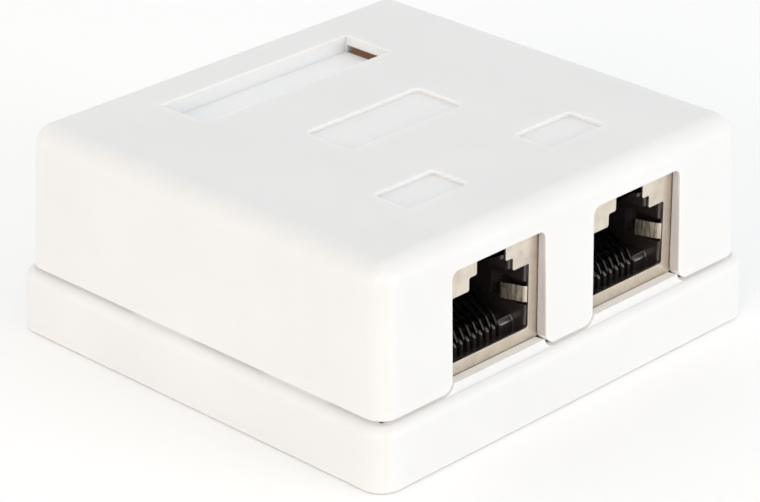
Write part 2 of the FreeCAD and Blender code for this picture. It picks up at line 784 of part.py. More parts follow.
# ---- screen plate and saddles -------------------------------------------------------------
def saddle_screw_place(mid_x):
    """Screw in the outer foot of a saddle."""
    outward = math.copysign(1, mid_x)
    return mid_x + outward * (saddle_radius + saddle_sheet + saddle_foot / 2), saddle_y


def saddle_hook(mid_x, gap):
    """Hook at the inner foot of a saddle, or its slot in the plate where there is a gap all round."""
    inward = -math.copysign(1, mid_x)
    x1 = mid_x + inward * (saddle_radius + saddle_sheet + hook_foot)
    x0 = x1 - inward * saddle_sheet
    half = hook_width / 2 + gap
    return block(min(x0, x1) - gap, max(x0, x1) + gap, saddle_y - half, saddle_y + half,
                 plate_top - hook_reach, plate_top + gap)


def saddle_middles():
    return (("left", -saddle_pitch / 2), ("right", saddle_pitch / 2))


def make_screen_plate():
    """Steel sheet screwed over the board's rear edge, with an arm under each cable saddle."""
    side = board_side - plate_side_gap
    low = board_top - OVER
    high = plate_top + OVER
    pieces = [block(-side, side, board_back - plate_lap, board_back + 1.0, board_top, plate_top)]
    cuts = [rod(screw_hole, x, y, low, high) for x, y in screw_places()]
    for _, mid_x in saddle_middles():
        pieces.append(block(mid_x - arm_width / 2, mid_x + arm_width / 2, board_back, arm_end,
                            board_top, plate_top))
        cuts.append(rod(saddle_hole, *saddle_screw_place(mid_x), low, high))
        cuts.append(saddle_hook(mid_x, hook_gap))
    return cut_all(fuse_all(pieces), cuts)


def make_cable_saddle(mid_x):
    """Strap bent over the cable, with a flat foot each side."""
    y0 = saddle_y - saddle_width / 2
    y1 = y0 + saddle_width
    inner = saddle_radius
    outer = saddle_radius + saddle_sheet
    spring = plate_top + saddle_rise
    arch = Part.makeCylinder(outer, saddle_width, vec(mid_x, y0, spring), vec(0, 1, 0))
    legs = block(mid_x - outer, mid_x + outer, y0, y1, plate_top, spring)
    outward = math.copysign(1, mid_x)
    foot_out = mid_x + outward * (outer + saddle_foot)
    foot_in = mid_x - outward * (outer + hook_foot)
    feet = block(min(foot_in, foot_out), max(foot_in, foot_out), y0, y1, plate_top, plate_top + saddle_sheet)
    strap = fuse_all([arch, legs, feet])
    bore = Part.makeCylinder(inner, saddle_width + 2 * OVER, vec(mid_x, y0 - OVER, spring), vec(0, 1, 0))
    gap = block(mid_x - inner, mid_x + inner, y0 - OVER, y1 + OVER, plate_top - OVER, spring)
    below = block(mid_x - outer, mid_x + outer, y0 - OVER, y1 + OVER, plate_top - 2 * OVER, plate_top)
    strap = cut_all(strap, [bore, gap, below])
    strap = fuse_all([strap, saddle_hook(mid_x, 0)])
    return strap.cut(rod(saddle_hole, *saddle_screw_place(mid_x), plate_top - OVER, plate_top + saddle_sheet + OVER))


def make_saddle_screws():
    seat = plate_top + saddle_sheet
    return Part.makeCompound([plain_screw(*saddle_screw_place(mid_x), seat, saddle_screw, saddle_screw_length,
                                          saddle_head, saddle_head_height) for _, mid_x in saddle_middles()])


def main():
    os.makedirs("parts", exist_ok=True)
    save("base", make_base())
    save("cover", make_cover())
    save("circuit_board", make_circuit_board())
    save("board_screws", make_board_screws())
    for name, mid_x in port_places:
        save("jack_shield_" + name, make_jack_shield(mid_x))
        save("jack_insert_" + name, make_jack_insert(mid_x))
        save("jack_contacts_" + name, make_jack_contacts(mid_x))
    for name, mid_x, mid_y in block_places():
        save("terminal_block_" + name, make_terminal_block(mid_x, mid_y))
        save("terminal_contacts_" + name, make_terminal_contacts(mid_x, mid_y))
    save("screen_plate", make_screen_plate())
    for name, mid_x in saddle_middles():
        save("cable_saddle_" + name, make_cable_saddle(mid_x))
    save("saddle_screws", make_saddle_screws())


main()
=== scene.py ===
import math

import bmesh
import bpy
from bpy.props import FloatProperty, FloatVectorProperty, IntProperty, PointerProperty
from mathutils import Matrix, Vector


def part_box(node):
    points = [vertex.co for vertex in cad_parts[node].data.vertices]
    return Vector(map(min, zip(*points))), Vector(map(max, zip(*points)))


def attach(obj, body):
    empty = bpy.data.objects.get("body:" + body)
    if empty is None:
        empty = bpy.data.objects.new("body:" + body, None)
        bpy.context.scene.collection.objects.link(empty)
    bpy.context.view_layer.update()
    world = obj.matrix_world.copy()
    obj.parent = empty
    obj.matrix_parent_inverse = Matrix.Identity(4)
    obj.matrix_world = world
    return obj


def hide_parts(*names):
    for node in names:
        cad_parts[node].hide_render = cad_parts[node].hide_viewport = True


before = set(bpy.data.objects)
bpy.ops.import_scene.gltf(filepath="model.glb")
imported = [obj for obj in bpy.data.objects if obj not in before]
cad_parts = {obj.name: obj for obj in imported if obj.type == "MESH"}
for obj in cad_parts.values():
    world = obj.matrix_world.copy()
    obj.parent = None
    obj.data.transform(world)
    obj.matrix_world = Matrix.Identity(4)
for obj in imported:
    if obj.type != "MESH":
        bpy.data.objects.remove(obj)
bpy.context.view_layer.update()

bl_info = {
    "name": "Surface mount jack box",
    "version": (1, 0, 0),
    "blender": (4, 5, 0),
    "location": "View3D > Sidebar > Jack Box",
    "description": "Dresses the jack box frame: moulded case, screened jacks, terminals and plate",
    "category": "Object",
}

MM = 0.001
BASE_LOW, BASE_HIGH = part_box("base")
COVER_LOW, COVER_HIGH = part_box("cover")
BOARD_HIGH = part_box("circuit_board")[1]
COVER_CORNER = 2.3 * MM         # radius of the cover's upright corners
COVER_DRAFT = math.radians(1.8)
COVER_EDGE = 4.0 * MM           # clears the cover's rounded edges, from outside
COVER_TOP = 2.05 * MM           # a little more than the depth of the recesses
SILL_TOP = 0.9 * MM             # just over the sills, from the cover's foot
SHEET = 0.3 * MM                # thickness of the shields
SQUARE_EDGE = 60.0              # least angle in degrees between the faces of a square edge
SIDES = ("left", "right")
ROWS = ("front", "rear")


# ---- settings -----------------------------------------------------------------------------
def length(name, description, default, low=0.0, high=0.1):
    return FloatProperty(name=name, description=description, default=default, min=low, max=high,
                         unit="LENGTH", precision=5)


def factor(name, description, default):
    return FloatProperty(name=name, description=description, default=default, min=0.0, max=1.0,
                         subtype="FACTOR")


def colour(name, description, default):
    return FloatVectorProperty(name=name, description=description, default=default, size=3,
                               min=0.0, max=1.0, subtype="COLOR")


class JackBoxCase(bpy.types.PropertyGroup):
    """Finish of the moulded base and cover, with its painted glow, painted shade and painted light."""
    plastic: colour("Plastic", "Colour of the moulded base and cover", (0.785, 0.785, 0.782))
    gloss: factor("Roughness", "Roughness of the satin plastic", 0.40)
    grain: length("Grain height", "Height of the fine moulding grain", 0.000012, high=0.001)
    edge: length("Edge softness", "Width of the softened sharp edges", 0.00014, high=0.001)
    edge_segments: IntProperty(name="Edge segments", description="Segments across a softened edge",
                               default=3, min=1, max=6)
    depth: length("Light depth", "How far light spreads inside the white plastic", 0.0007, high=0.01)
    # painted glow: an emission colour that stands in for daylight through the walls behind the label slot
    glow: colour("Inner glow", "Colour of the daylight that comes through the walls behind the label slot",
                 (0.105, 0.046, 0.022))
    # painted glow: an emission colour that lightens the seam and the sills
    seam: colour("Seam glow", "Colour of the daylight that comes through the plastic into the seam",
                 (0.14, 0.122, 0.108))
    # painted shade: a darker colour on the sides of the port windows
    reveal: colour("Painted window shade", "Painted shade on the sides of the port windows", (0.62, 0.595, 0.61))
    # painted light: a lighter colour that grows with depth in the recesses of the top
    recess: colour("Painted recess light", "Painted lighter colour in the recesses of the top",
                   (0.88, 0.89, 0.90))
    foot: length("Foot edge", "Rounding of the base's lower edge", 0.0005, high=0.001)


class JackBoxJacks(bpy.types.PropertyGroup):
    """Finish of the two jacks, with their contact wires painted dark."""
    shield: colour("Shield", "Colour of the plated shields", (0.76, 0.69, 0.59))
    worn: colour("Worn plating", "Colour of the rubbed plating on the spring tabs", (0.60, 0.54, 0.43))
    insert: colour("Insert", "Colour of the moulded inserts", (0.032, 0.023, 0.024))
    # painted shade: the contact wires' metal is made near black, for the dark inside of the jack that it
    # reflects
    contact: colour("Contacts", "Colour of the contact wires, painted dark for the shade they reflect", (0.05, 0.046, 0.044))
    fold: length("Fold softness", "Rounding of the shield's sheet edges", 0.00008, high=0.001)
    lip: length("Insert softness", "Rounding of the insert's edges", 0.00007, high=0.001)
    mouth: length("Insert mouth", "Rounding of the mouth of the insert, behind the shield", 0.0006,
                  high=0.001)
    comb: length("Comb rounding", "Rounding of the front of the comb's ribs", 0.0002, high=0.001)
    opening: length("Opening corners", "Radius of the corners of the shield's opening", 0.00025,
                    high=0.001)
    wire_width: length("Wire width", "Width of a contact wire", 0.00036, high=0.001)
    wire_thickness: length("Wire thickness", "Thickness of a contact wire", 0.0003, high=0.001)
    wire_bend: length("Wire bend", "Radius of a contact wire's bends", 0.0004, high=0.002)


class JackBoxInside(bpy.types.PropertyGroup):
    """Finish of what the cover hides."""
    board: colour("Board", "Colour of the board's solder resist", (0.012, 0.085, 0.03))
    terminal: colour("Terminals", "Colour of the punch-down blocks", (0.72, 0.72, 0.68))
    steel: colour("Steel", "Colour of the plated plate, saddles and screws", (0.62, 0.61, 0.58))
    edge: length("Edge softness", "Width of the softened edges inside", 0.0001, high=0.001)


class JackBoxStage(bpy.types.PropertyGroup):
    """Floor, light and camera."""
    floor: colour("Floor", "Colour of the plain floor", (0.99, 0.99, 0.99))
    world: FloatProperty(name="Surrounding light", description="Strength of the even light all round",
                         default=0.915, min=0.0, max=5.0)
    key: FloatProperty(name="Key light", description="Power of the soft light at the front left",
                       default=1.75, min=0.0, max=100.0, unit="POWER")
    fill: FloatProperty(name="Fill light", description="Power of the soft light at the front right",
                        default=1.6, min=0.0, max=100.0, unit="POWER")
    lens: FloatProperty(name="Focal length", description="Focal length in millimetres",
                        default=155.4, min=20.0, max=400.0)


# ---- shader groups and materials ----------------------------------------------------------
def is_socket(value):
    """Tells a node's output from a plain value."""
    return isinstance(value, bpy.types.NodeSocket)


class Nodes:
    """Adds nodes to a tree and joins them."""

    def __init__(self, tree):
        self.tree = tree

    def add(self, kind, inputs=None, **settings):
        node = self.tree.nodes.new(kind)
        for name, value in settings.items():
            setattr(node, name, value)
        for name, value in (inputs or {}).items():
            if is_socket(value):
                self.tree.links.new(value, node.inputs[name])
            else:
                node.inputs[name].default_value = value
        return node

    def join(self, output, target):
        self.tree.links.new(output, target)

    def math(self, operation, *values):
        """Each value is a number or an output."""
        return self.add("ShaderNodeMath", dict(enumerate(values)), operation=operation).outputs[0]

    def vector(self, operation, *values):
        return self.add("ShaderNodeVectorMath", dict(enumerate(values)), operation=operation)

    def every(self, first, *others):
        """The product of masks."""
        for other in others:
            first = self.math("MULTIPLY", first, other)
        return first

    def ramp(self, value, low, high, to_low=0.0, to_high=1.0):
        return self.add("ShaderNodeMapRange", {"Value": value, "From Min": low, "From Max": high,
                                               "To Min": to_low, "To Max": to_high}).outputs["Result"]

    def place(self):
        """The object coordinates."""
        return self.add("ShaderNodeTexCoord").outputs["Object"]

    def axes(self):
        """X, Y and Z of the object coordinates."""
        return self.add("ShaderNodeSeparateXYZ", {"Vector": self.place()}).outputs

    def noise(self, place, scale, detail, roughness=0.5):
        return self.add("ShaderNodeTexNoise", {"Vector": place, "Scale": scale, "Detail": detail,
                                               "Roughness": roughness}).outputs["Fac"]

    def mix(self, mask, under, over):
        """Goes from the colour under to the colour over; each is a colour or an output."""
        node = self.add("ShaderNodeMix", data_type="RGBA")
        self.join(mask, node.inputs["Factor"])
        for name, value in (("A", under), ("B", over)):
            if is_socket(value):
                self.join(value, node.inputs[name])
            else:
                node.inputs[name].default_value = (*value, 1.0)
        return node.outputs["Result"]

    def bump(self, shader, strength, distance, height):
        node = self.add("ShaderNodeBump", {"Strength": strength, "Distance": distance, "Height": height})
        self.join(node.outputs["Normal"], shader.inputs["Normal"])


def shader_group(name, inputs, outputs):
    """A shader group with number sockets, its nodes, its input and its output."""
    group = bpy.data.node_groups.new(name, "ShaderNodeTree")
    for socket, default in inputs.items():
        made = group.interface.new_socket(socket, in_out="INPUT", socket_type="NodeSocketFloat")
        made.default_value = default
    for socket in outputs:
        group.interface.new_socket(socket, in_out="OUTPUT", socket_type="NodeSocketFloat")
    nodes = Nodes(group)
    return group, nodes, nodes.add("NodeGroupInput"), nodes.add("NodeGroupOutput")


def moulding_grain():
    """Fine satin texture of a moulded part, with faint flow marks."""
    found = bpy.data.node_groups.get("Moulding grain")
    if found:
        return found
    group, n, given, out = shader_group("Moulding grain", {"Grain scale": 5200.0, "Flow scale": 90.0},
                                        ("Height", "Roughness mask", "Tone mask"))
    place = n.place()
    grain = n.noise(place, given.outputs["Grain scale"], 3.0, 0.55)
    flow = n.noise(place, given.outputs["Flow scale"], 2.0)
    n.join(grain, out.inputs["Height"])
    n.join(n.math("MULTIPLY", grain, flow), out.inputs["Roughness mask"])
    n.join(n.ramp(flow, 0.3, 0.7), out.inputs["Tone mask"])
    return group


def plated_sheet():
    """Rolled and plated sheet: fine grain, rolling lines and dull patches."""
    found = bpy.data.node_groups.get("Plated sheet")
    if found:
        return found
    group, n, given, out = shader_group("Plated sheet", {"Grain scale": 4000.0, "Patch scale": 420.0},
                                        ("Height", "Roughness mask", "Patch mask"))
    stretch = 0.12
    place = n.place()
    drawn = n.add("ShaderNodeMapping", {"Vector": place, "Scale": (1.0, 1.0, stretch)})
    grain = n.noise(drawn.outputs[0], given.outputs["Grain scale"], 4.0, 0.6)
    patches = n.ramp(n.noise(place, given.outputs["Patch scale"], 5.0, 0.62), 0.42, 0.66)
    n.join(grain, out.inputs["Height"])
    n.join(n.math("ADD", n.math("MULTIPLY", grain, 0.5), n.math("MULTIPLY", patches, 0.5)),
           out.inputs["Roughness mask"])
    n.join(patches, out.inputs["Patch mask"])
    return group


def new_material(name):
    """A material with an empty tree, its Principled shader and its output joined."""
    material = bpy.data.materials.new(name)
    material.use_nodes = True
    material.node_tree.nodes.clear()
    n = Nodes(material.node_tree)
    shader = n.add("ShaderNodeBsdfPrincipled")
    output = n.add("ShaderNodeOutputMaterial")
    n.join(shader.outputs["BSDF"], output.inputs["Surface"])
    return material, n, shader


def shade(colour_value, by):
    """A colour made darker or lighter."""
    return tuple(max(0.0, min(1.0, c * by)) for c in colour_value)


def outline_depth(n):
    """How far inside the cover's rounded outline a point lies, seen from above."""
    straight = (COVER_HIGH.x - COVER_CORNER, COVER_HIGH.y - COVER_CORNER, 1.0)
    past = n.vector("ABSOLUTE", n.place()).outputs[0]
    past = n.vector("SUBTRACT", past, straight).outputs[0]
    past = n.vector("MAXIMUM", past, (0.0, 0.0, 0.0)).outputs[0]
    return n.math("SUBTRACT", COVER_CORNER, n.vector("LENGTH", past).outputs["Value"])


def painted_slot_glow_mask(n):
    """Mask of the painted glow: one on the cover's inner faces in the corner that shows through the label
    slot, none elsewhere.
    """
    wall = 1.25 * MM
    corner_x, corner_y, rise = 16.0 * MM, 20.0 * MM, 3.0 * MM
    x, y, z = n.axes()
    return n.every(n.math("GREATER_THAN", outline_depth(n), wall),
                   n.math("GREATER_THAN", x, corner_x), n.math("GREATER_THAN", y, corner_y),
                   n.math("GREATER_THAN", z, COVER_LOW.z + rise),
                   n.math("LESS_THAN", z, COVER_HIGH.z - COVER_TOP))


def painted_seam_glow_mask(n):
    """Mask of the painted glow: grows from none at the cover's foot to one a little way into the seam, and
    on the sills.
    """
    reach = 0.45 * MM
    z = n.axes()[2]
    return n.every(n.ramp(outline_depth(n), 0.0, reach), n.math("GREATER_THAN", z, COVER_LOW.z - reach),
                   n.math("LESS_THAN", z, COVER_LOW.z + SILL_TOP))


def painted_window_shade_mask(n):
    """Mask of the painted shade: one on the sides of the port windows, none on the front face."""
    start, full, wall_back = 0.08 * MM, 0.3 * MM, 1.5 * MM
    sill_gap, window_drop = 0.02 * MM, 3.0 * MM
    x, y, z = n.axes()
    lean = n.math("MULTIPLY", n.math("SUBTRACT", z, COVER_LOW.z), math.tan(COVER_DRAFT))
    face = n.math("SUBTRACT", y, n.math("ADD", lean, COVER_LOW.y))
    return n.every(n.ramp(face, start, full), n.math("LESS_THAN", face, wall_back),
                   n.math("LESS_THAN", n.math("ABSOLUTE", x), COVER_HIGH.x - COVER_EDGE),
                   n.math("GREATER_THAN", z, COVER_LOW.z + SILL_TOP + sill_gap),
                   n.math("LESS_THAN", z, COVER_HIGH.z - window_drop))


def painted_recess_light_mask(n):
    """Mask of the painted light: grows with the depth of the recesses in the cover's top, and is none on the
    top itself.
    """
    start, full = 0.1 * MM, 1.5 * MM
    x, y, z = n.axes()
    return n.every(n.math("LESS_THAN", n.math("ABSOLUTE", x), COVER_HIGH.x - COVER_EDGE),
                   n.math("LESS_THAN", n.math("ABSOLUTE", y), COVER_HIGH.y - COVER_EDGE),
                   n.ramp(z, COVER_HIGH.z - full, COVER_HIGH.z - start, 1.0, 0.0),
                   n.math("GREATER_THAN", z, COVER_HIGH.z - COVER_TOP))


def spring_mask(n):
    """One on the spring tabs inside a shield's opening, none on the sheet round it."""
    half_width, root = 5.8 * MM, 0.55 * MM
    x, y, _ = n.axes()
    low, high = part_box("jack_shield_right")
    across = n.math("SUBTRACT", n.math("ABSOLUTE", x), (low.x + high.x) / 2)
    return n.every(n.math("LESS_THAN", n.math("ABSOLUTE", across), half_width),
                   n.math("GREATER_THAN", y, low.y + root))


def plastic_shader(name, base, roughness, grain_height, grain_scale=5200.0, ior=1.49):
    """A new material of moulded plastic with its fine grain, with its nodes, its shader and its tone."""
    smoother, rougher = 0.05, 0.06
    darker, lighter = 0.985, 1.01
    material, n, shader = new_material(name)
    group = n.add("ShaderNodeGroup", node_tree=moulding_grain())
    group.inputs["Grain scale"].default_value = grain_scale
    n.join(n.ramp(group.outputs["Roughness mask"], 0.1, 0.45, roughness - smoother, roughness + rougher),
           shader.inputs["Roughness"])
    n.bump(shader, 0.35, grain_height, group.outputs["Height"])
    shader.inputs["IOR"].default_value = ior
    tone = n.mix(group.outputs["Tone mask"], shade(base, darker), shade(base, lighter))
    return material, n, shader, tone


def plastic_material(name, base, roughness, grain_height, grain_scale=5200.0, ior=1.49, coat=0.0):
    """Moulded plastic; coat is the strength of the gloss that moulding leaves on it."""
    found = bpy.data.materials.get(name)
    if found:
        return found
    material, n, shader, tone = plastic_shader(name, base, roughness, grain_height, grain_scale, ior)
    n.join(tone, shader.inputs["Base Color"])
    shader.inputs["Coat Weight"].default_value = coat
    shader.inputs["Coat Roughness"].default_value = 0.16
    return material


def white_plastic(case):
    """The case's plastic: light spreads inside it; a painted glow, an emission, stands in for the light that
    comes through into the seam and behind the slot, painted shade darkens the window sides and painted light
    brightens the recesses.
    """
    name = "White moulding"
    found = bpy.data.materials.get(name)
    if found:
        return found
    material, n, shader, tone = plastic_shader(name, tuple(case.plastic), case.gloss, case.grain)
    # painted shade on the sides of the port windows
    tone = n.mix(painted_window_shade_mask(n), tone, tuple(case.reveal))
    # painted light in the recesses of the top, lighter the deeper
    n.join(n.mix(painted_recess_light_mask(n), tone, tuple(case.recess)), shader.inputs["Base Color"])
    # painted glow behind the label slot, as emission
    inner = n.mix(painted_slot_glow_mask(n), (0.0, 0.0, 0.0), tuple(case.glow))
    # painted glow in the seam and on the sills, as emission
    n.join(n.mix(painted_seam_glow_mask(n), inner, tuple(case.seam)), shader.inputs["Emission Color"])
    shader.inputs["Emission Strength"].default_value = 1.0
    shader.inputs["Subsurface Weight"].default_value = 1.0
    shader.inputs["Subsurface Radius"].default_value = (1.0, 0.9, 0.85)
    shader.inputs["Subsurface Scale"].default_value = case.depth
    return material


def rubbed_plating(n, worn):
    """Colour of plating rubbed by plugs, with upright scratches."""
    scratch_scale, stretch, darker = 4200.0, 0.16, 0.45
    drawn = n.add("ShaderNodeMapping", {"Vector": n.place(), "Scale": (1.0, 1.0, stretch)})
    rubbed = n.noise(drawn.outputs[0], scratch_scale, 4.0, 0.7)
    return n.mix(n.ramp(rubbed, 0.44, 0.58), shade(worn, darker), worn)


def metal_material(name, base, roughness, grain_height, grain_scale, patch, worn=None):
    """Plated metal with grain and patches darker by patch; worn is the colour of rubbed spring tabs."""
    found = bpy.data.materials.get(name)
    if found:
        return found
    smoother, rougher = 0.08, 0.12
    material, n, shader = new_material(name)
    group = n.add("ShaderNodeGroup", node_tree=plated_sheet())
    group.inputs["Grain scale"].default_value = grain_scale
    tone = n.mix(group.outputs["Patch mask"], base, shade(base, patch))
    if worn:
        tone = n.mix(spring_mask(n), tone, rubbed_plating(n, worn))
    n.join(tone, shader.inputs["Base Color"])
    n.join(n.ramp(group.outputs["Roughness mask"], 0.2, 0.8, roughness - smoother, roughness + rougher),
           shader.inputs["Roughness"])
    n.bump(shader, 0.4, grain_height, group.outputs["Height"])
    shader.inputs["Metallic"].default_value = 1.0
    return material


def board_material(base):
    """Green laminate with tracks under its solder resist."""
    found = bpy.data.materials.get("Board laminate")
    if found:
        return found
    track_pitch, wander_width, track_rise = 1.27 * MM, 3.0 * MM, 0.04 * MM
    material, n, shader = new_material("Board laminate")
    place = n.place()
    x = n.axes()[0]
    wander = n.noise(place, 160.0, 1.0)
    across = n.math("ADD", x, n.math("MULTIPLY", n.math("SNAP", wander, 0.12), wander_width))
    wave = n.math("ABSOLUTE", n.math("SINE", n.math("MULTIPLY", across, math.pi / track_pitch)))
    track = n.ramp(wave, 0.90, 0.94)
    n.join(n.mix(track, base, shade(base, 1.7)), shader.inputs["Base Color"])
    weave = n.noise(place, 2600.0, 2.0)
    n.join(n.ramp(weave, 0.3, 0.7, 0.22, 0.34), shader.inputs["Roughness"])
    height = n.math("ADD", n.math("MULTIPLY", track, 0.8), n.math("MULTIPLY", weave, 0.2))
    n.bump(shader, 0.5, track_rise, height)
    return material


# ---- meshes -------------------------------------------------------------------------------
def new_object(name, data):
    """A new object with this data, linked to the scene."""
    made = bpy.data.objects.new(name, data)
    bpy.context.scene.collection.objects.link(made)
    return made


def object_from(bm, name):
    """A new object with the mesh built in bm, which is freed."""
    mesh = bpy.data.meshes.new(name)
    bm.to_mesh(mesh)
    bm.free()
    return new_object(name, mesh)


def clean_copy(node, name):
    """A new object with a merged copy of a CAD node's mesh, its flat triangles joined."""
    merge_distance = 2e-7
    flat = math.radians(0.6)
    bm = bmesh.new()
    bm.from_mesh(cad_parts[node].data)
    for layer in list(bm.loops.layers.uv):
        bm.loops.layers.uv.remove(layer)
    bmesh.ops.remove_doubles(bm, verts=bm.verts, dist=merge_distance)
    bmesh.ops.dissolve_limit(bm, angle_limit=flat, use_dissolve_boundaries=False,
                             verts=bm.verts, edges=bm.edges)
    return object_from(bm, name)


def settle(piece):
    """Turns a piece's modifiers into plain mesh."""
    bpy.context.view_layer.update()
    graph = bpy.context.evaluated_depsgraph_get()
    mesh = bpy.data.meshes.new_from_object(piece.evaluated_get(graph))
    old = piece.data
    piece.modifiers.clear()
    piece.data = mesh
    bpy.data.meshes.remove(old)
    mesh.name = piece.name
    return piece


def soften(piece, width, segments):
    """Rounds a piece's sharp edges and keeps its flat faces flat."""
    least_angle = math.radians(28.0)
    piece.data.shade_smooth()
    bevel = piece.modifiers.new("Edges", "BEVEL")
    bevel.width = width
    bevel.segments = segments
    bevel.limit_method = "ANGLE"
    bevel.angle_limit = least_angle
    bevel.use_clamp_overlap = True
    bevel.miter_outer = "MITER_SHARP"
    normals = piece.modifiers.new("Normals", "WEIGHTED_NORMAL")
    normals.keep_sharp = True
    normals.weight = 60
    return settle(piece)


def dress(piece, material, node):
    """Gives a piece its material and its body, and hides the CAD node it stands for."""
    piece.data.materials.clear()
    piece.data.materials.append(material)
    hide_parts(node)
    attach(piece, "cover" if node == "cover" else "base")
    return piece


def round_edges(piece, wanted, radius, segments):
    """Rounds the edges for which wanted, given both ends and the angle between the faces, holds."""
    bm = bmesh.new()
    bm.from_mesh(piece.data)
    chosen = [edge for edge in bm.edges
              if wanted(edge.verts[0].co, edge.verts[1].co, math.degrees(edge.calc_face_angle(0.0)))]
    bmesh.ops.bevel(bm, geom=chosen, offset=radius, segments=segments, profile=0.5, affect="EDGES",
                    clamp_overlap=True)
    bm.to_mesh(piece.data)
    bm.free()


def foot_edge(first, second, angle):
    """Picks the lower outer edge of the base."""
    side = 3.0 * MM
    near = 0.01 * MM
    low = max(first.z, second.z) < BASE_LOW.z + near
    outer = all(abs(point.x) > BASE_HIGH.x - side or abs(point.y) > BASE_HIGH.y - side
                for point in (first, second))
    return low and outer and angle > SQUARE_EDGE


def shield_corners(node):
    """Picks the corners of the opening punched in a shield's front sheet."""
    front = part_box(node)[0].y
    near = 0.02 * MM

    def wanted(first, second, angle):
        through = abs(first.x - second.x) + abs(first.z - second.z) < near and angle > SQUARE_EDGE
        across_sheet = abs(abs(first.y - second.y) - SHEET) < near
        return through and across_sheet and min(first.y, second.y) < front + near
    return wanted


def insert_mouth(node):
    """Picks the rim of an insert's bay, except at the pockets of the tabs and below the shield's lip."""
    low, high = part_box(node)
    middle = (low.x + high.x) / 2
    half_width = 5.87 * MM
    lip_top = low.z + 1.0 * MM
    near = 0.01 * MM

    def wanted(first, second, angle):
        inside = all(abs(point.x - middle) < half_width and abs(point.y - low.y) < near
                     for point in (first, second))
        return inside and angle > SQUARE_EDGE and max(first.z, second.z) > lip_top
    return wanted


def comb_front(node):
    """Picks the front edges of the comb's ribs."""
    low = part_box(node)[0]
    front = low.y + 1.75 * MM
    back = front + 0.36 * MM
    floor = low.z + 0.4 * MM
    top = low.z + 2.1 * MM
    near = 0.01 * MM
    least_angle = 20.0

    def wanted(first, second, angle):
        placed = all(front - near < point.y < back and floor - near < point.z < top + near
                     for point in (first, second))
        return placed and angle > least_angle and max(first.z, second.z) > floor + near
    return wanted


def refined(node, material, width, segments, rounded=()):
    """A softened copy of a node; rounded lists what else is rounded, as (edges, radius, segments)."""
    piece = clean_copy(node, node + "_look")
    for wanted, radius, steps in rounded:
        round_edges(piece, wanted, radius, steps)
    soften(piece, width, segments)
    return dress(piece, material, node)


def tree_input(modifier, name, value):
    """Sets a Geometry Nodes input by the identifier of the socket with this name."""
    for item in modifier.node_group.interface.items_tree:
        if item.item_type == "SOCKET" and item.in_out == "INPUT" and item.name == name:
            modifier[item.identifier] = value
            return
    raise RuntimeError("no input named " + name)


def geometry_tree(name, sockets):
    """A Geometry Nodes tree with these inputs, its nodes, its input and its output."""
    tree = bpy.data.node_groups.new(name, "GeometryNodeTree")
    tree.interface.new_socket("Geometry", in_out="INPUT", socket_type="NodeSocketGeometry")
    for socket, kind in sockets.items():
        tree.interface.new_socket(socket, in_out="INPUT", socket_type=kind)
    tree.interface.new_socket("Geometry", in_out="OUTPUT", socket_type="NodeSocketGeometry")
    n = Nodes(tree)
    return tree, n, n.add("NodeGroupInput"), n.add("NodeGroupOutput")


def finish_tree(n, given, out, geometry):
    """Turns a tree's instances into mesh and gives it the material."""
    whole = n.add("GeometryNodeRealizeInstances", {"Geometry": geometry})
    finished = n.add("GeometryNodeSetMaterial", {"Geometry": whole.outputs["Geometry"],
                                                 "Material": given.outputs["Material"]})
    n.join(finished.outputs["Geometry"], out.inputs["Geometry"])


def swept_wire_tree():
    """Rounds each path's corners, sweeps a flat section along it and closes its ends."""
    found = bpy.data.node_groups.get("Swept wire")
    if found:
        return found
    corner_share = 0.22
    tree, n, given, out = geometry_tree("Swept wire", {
        "Width": "NodeSocketFloat", "Thickness": "NodeSocketFloat", "Bend": "NodeSocketFloat",
        "Material": "NodeSocketMaterial"})
    path = n.add("GeometryNodeMeshToCurve", {"Mesh": given.outputs["Geometry"]})
    bent = n.add("GeometryNodeFilletCurve", {
        "Curve": path.outputs["Curve"], "Radius": given.outputs["Bend"], "Count": 8,
        "Limit Radius": True}, mode="POLY")
    section = n.add("GeometryNodeCurvePrimitiveQuadrilateral", {
        "Width": given.outputs["Thickness"], "Height": given.outputs["Width"]})
    corner = n.math("MULTIPLY", given.outputs["Thickness"], corner_share)
    rounded = n.add("GeometryNodeFilletCurve", {
        "Curve": section.outputs["Curve"], "Radius": corner, "Count": 3,
        "Limit Radius": True}, mode="POLY")
    swept = n.add("GeometryNodeCurveToMesh", {
        "Curve": bent.outputs["Curve"], "Profile Curve": rounded.outputs["Curve"], "Fill Caps": True})
    finish_tree(n, given, out, swept.outputs["Mesh"])
    return tree


def repeated_tree():
    """Puts one shape on every point, turned about Z by each point's own angle."""
    found = bpy.data.node_groups.get("Repeated shape")
    if found:
        return found
    tree, n, given, out = geometry_tree("Repeated shape", {
        "Shape": "NodeSocketObject", "Turn": "NodeSocketFloat", "Material": "NodeSocketMaterial"})
    shape = n.add("GeometryNodeObjectInfo", {"Object": given.outputs["Shape"]})
    index = n.add("GeometryNodeInputIndex")
    turn = n.math("MULTIPLY", index.outputs["Index"], given.outputs["Turn"])
    angles = n.add("ShaderNodeCombineXYZ", {"Z": turn})
    placed = n.add("GeometryNodeInstanceOnPoints", {
        "Points": given.outputs["Geometry"], "Instance": shape.outputs["Geometry"],
        "Rotation": angles.outputs["Vector"]})
    finish_tree(n, given, out, placed.outputs["Instances"])
    return tree


def line_object(name, points, edges):
    """An object with only points and the edges between them."""
    mesh = bpy.data.meshes.new(name)
    mesh.from_pydata([tuple(p) for p in points], edges, [])
    return new_object(name, mesh)


def grown(piece, tree, values):
    """Runs a Geometry Nodes tree on a piece and keeps the result as plain mesh."""
    modifier = piece.modifiers.new("Shape", "NODES")
    modifier.node_group = tree
    for name, value in values.items():
        tree_input(modifier, name, value)
    return settle(piece)


